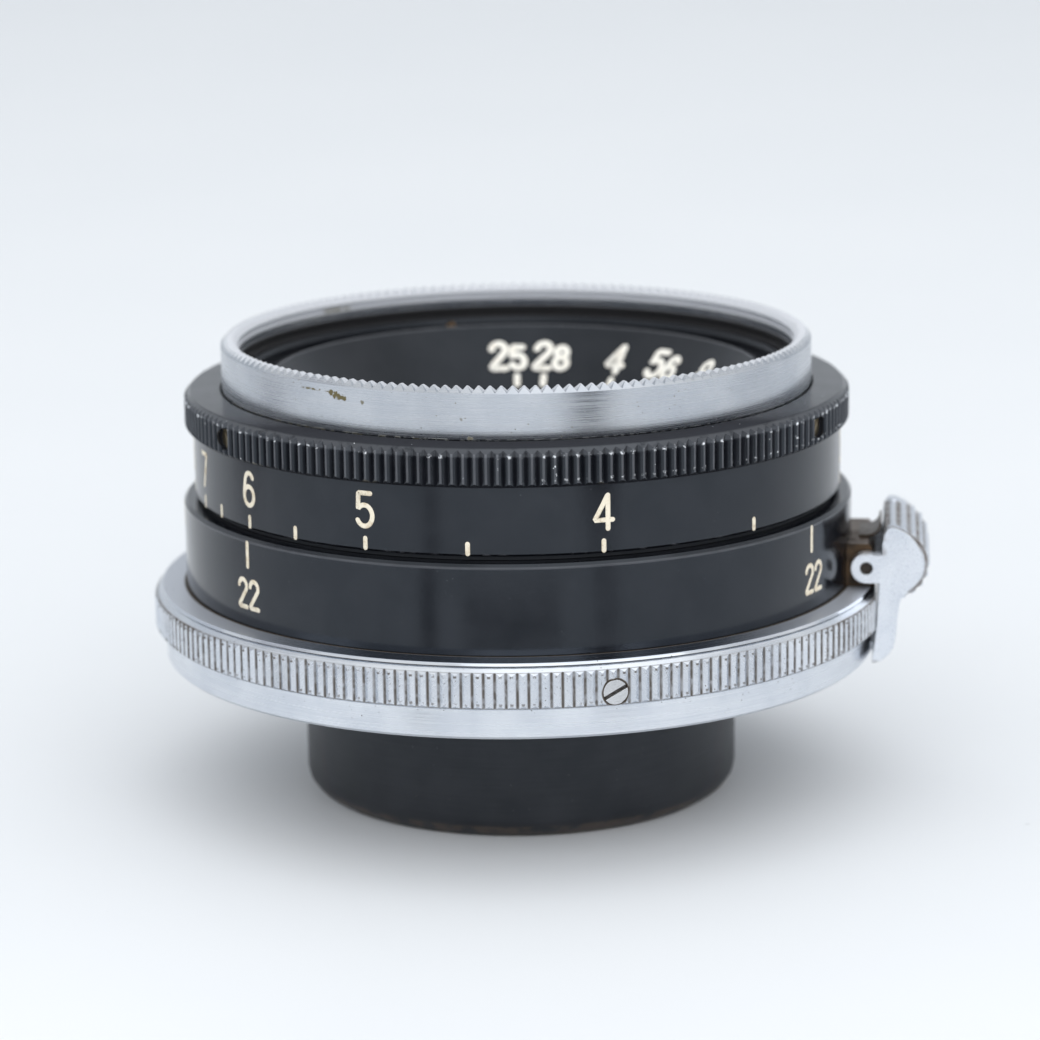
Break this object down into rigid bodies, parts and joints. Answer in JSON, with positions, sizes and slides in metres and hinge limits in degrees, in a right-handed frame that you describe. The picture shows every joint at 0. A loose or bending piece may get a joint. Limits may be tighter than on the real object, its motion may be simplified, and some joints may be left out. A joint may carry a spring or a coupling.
{
  "type": "camera lens",
  "caption": "Wide-angle rangefinder camera lens: knurled bayonet mount with sprung latch, distance ring in feet, recessed aperture scale in a notched bright filter rim, working iris",
  "frame": {"origin": "centre of the mount ring's rear face, on the optical axis", "axes": "+Z points to the front of the lens along the optical axis, +X points to the side that has the bayonet latch, +Y completes the right-handed set"},
  "size_m": [0.06, 0.0562, 0.0353],
  "materials": {
    "chrome": "satin turned chrome, pitted on the knurls",
    "steel": "bright machined steel",
    "black_paint": "gloss black enamel on brass",
    "black_matte": "matte black anodising",
    "brass": "turned brass",
    "aged_brass": "dull browned brass",
    "spring_bronze": "spring bronze strip",
    "screw_steel": "polished screw head",
    "blade_steel": "blued thin steel",
    "optical_glass": "coated optical glass"
  },
  "bodies": {
    "mount": {"mount_ring": "chrome", "bayonet_ring": "steel", "bayonet_screws": "steel", "bayonet_springs": "spring_bronze", "spring_rivets": "brass", "dof_ring": "black_paint", "base_screws": "screw_steel", "mount_plate": "black_matte", "plate_screws": "brass", "guide_keys": "brass", "latch_bracket": "aged_brass", "bracket_screws": "aged_brass", "latch_pin": "steel", "latch_spring": "spring_bronze"},
    "latch": {"latch_lever": "chrome"},
    "focus": {"focus_ring": "black_paint", "grip_ring": "black_paint", "grip_screws": "aged_brass", "focus_sleeve": "brass", "sleeve_screws": "brass", "focus_washer": "black_matte", "focus_stop_pin": "steel"},
    "optics": {"helicoid_barrel": "brass", "lens_block": "black_matte", "focus_shim": "brass", "block_ring": "brass", "front_cell": "black_matte", "nameplate_ring": "black_paint", "front_retainer": "black_matte", "element_1": "optical_glass", "element_2": "optical_glass", "element_3": "optical_glass", "doublet_retainer": "black_matte", "iris_plate": "black_matte", "iris_retainer": "black_matte", "element_4": "optical_glass", "element_5": "optical_glass", "rear_doublet_ring": "black_matte", "rear_cell": "black_matte", "element_6": "optical_glass", "rear_retainer": "black_matte", "rear_shroud": "black_matte"},
    "aperture": {"front_rim": "chrome", "fscale_ring": "black_paint", "rim_screws": "aged_brass", "guide_screws": "brass", "drive_screw": "brass", "iris_cam": "brass"},
    "blade_0": {"blade_0": "blade_steel"},
    "blade_1": {"blade_1": "blade_steel"},
    "blade_2": {"blade_2": "blade_steel"},
    "blade_3": {"blade_3": "blade_steel"},
    "blade_4": {"blade_4": "blade_steel"},
    "blade_5": {"blade_5": "blade_steel"},
    "blade_6": {"blade_6": "blade_steel"},
    "blade_7": {"blade_7": "blade_steel"},
    "blade_8": {"blade_8": "blade_steel"},
    "blade_9": {"blade_9": "blade_steel"}
  },
  "joints": [
    {"name": "latch_pivot", "type": "hinge", "parent": "mount", "child": "latch", "pos_m": [0.02667, -0.00262, 0.00735], "axis": [0.0976, 0.9952, 0], "range_deg": [-8, 0], "stiffness_Nm_per_rad": 0.05, "deforming": ["latch_spring"]},
    {"name": "focus_turn", "type": "hinge", "parent": "mount", "child": "focus", "pos_m": [0, 0, 0.012], "axis": [0, 0, 1], "range_deg": [-261.7, 0]},
    {"name": "optics_slide", "type": "slide", "parent": "mount", "child": "optics", "axis": [0, 0, 1], "range_m": [0, 0.00145]},
    {"name": "aperture_turn", "type": "hinge", "parent": "optics", "child": "aperture", "pos_m": [0, 0, 0.018], "axis": [0, 0, 1], "range_deg": [0, 117]},
    {"name": "blade_0_pivot", "type": "hinge", "parent": "optics", "child": "blade_0", "pos_m": [0.01284, 0, 0.0078], "axis": [0, 0, 1], "range_deg": [0, 23.5]},
    {"name": "blade_1_pivot", "type": "hinge", "parent": "optics", "child": "blade_1", "pos_m": [0.01039, 0.00755, 0.0078], "axis": [0, 0, 1], "range_deg": [0, 23.5]},
    {"name": "blade_2_pivot", "type": "hinge", "parent": "optics", "child": "blade_2", "pos_m": [0.00397, 0.01221, 0.0078], "axis": [0, 0, 1], "range_deg": [0, 23.5]},
    {"name": "blade_3_pivot", "type": "hinge", "parent": "optics", "child": "blade_3", "pos_m": [-0.00397, 0.01221, 0.0078], "axis": [0, 0, 1], "range_deg": [0, 23.5]},
    {"name": "blade_4_pivot", "type": "hinge", "parent": "optics", "child": "blade_4", "pos_m": [-0.01039, 0.00755, 0.0078], "axis": [0, 0, 1], "range_deg": [0, 23.5]},
    {"name": "blade_5_pivot", "type": "hinge", "parent": "optics", "child": "blade_5", "pos_m": [-0.01284, 0, 0.0078], "axis": [0, 0, 1], "range_deg": [0, 23.5]},
    {"name": "blade_6_pivot", "type": "hinge", "parent": "optics", "child": "blade_6", "pos_m": [-0.01039, -0.00755, 0.0078], "axis": [0, 0, 1], "range_deg": [0, 23.5]},
    {"name": "blade_7_pivot", "type": "hinge", "parent": "optics", "child": "blade_7", "pos_m": [-0.00397, -0.01221, 0.0078], "axis": [0, 0, 1], "range_deg": [0, 23.5]},
    {"name": "blade_8_pivot", "type": "hinge", "parent": "optics", "child": "blade_8", "pos_m": [0.00397, -0.01221, 0.0078], "axis": [0, 0, 1], "range_deg": [0, 23.5]},
    {"name": "blade_9_pivot", "type": "hinge", "parent": "optics", "child": "blade_9", "pos_m": [0.01039, -0.00755, 0.0078], "axis": [0, 0, 1], "range_deg": [0, 23.5]}
  ],
  "couplings": [
    {"joint": "focus_turn", "follows": "optics_slide", "rad_per_m": -3141.6},
    {"joint": "blade_0_pivot", "follows": "aperture_turn", "ratio": 0.2},
    {"joint": "blade_1_pivot", "follows": "aperture_turn", "ratio": 0.2},
    {"joint": "blade_2_pivot", "follows": "aperture_turn", "ratio": 0.2},
    {"joint": "blade_3_pivot", "follows": "aperture_turn", "ratio": 0.2},
    {"joint": "blade_4_pivot", "follows": "aperture_turn", "ratio": 0.2},
    {"joint": "blade_5_pivot", "follows": "aperture_turn", "ratio": 0.2},
    {"joint": "blade_6_pivot", "follows": "aperture_turn", "ratio": 0.2},
    {"joint": "blade_7_pivot", "follows": "aperture_turn", "ratio": 0.2},
    {"joint": "blade_8_pivot", "follows": "aperture_turn", "ratio": 0.2},
    {"joint": "blade_9_pivot", "follows": "aperture_turn", "ratio": 0.2}
  ]
}
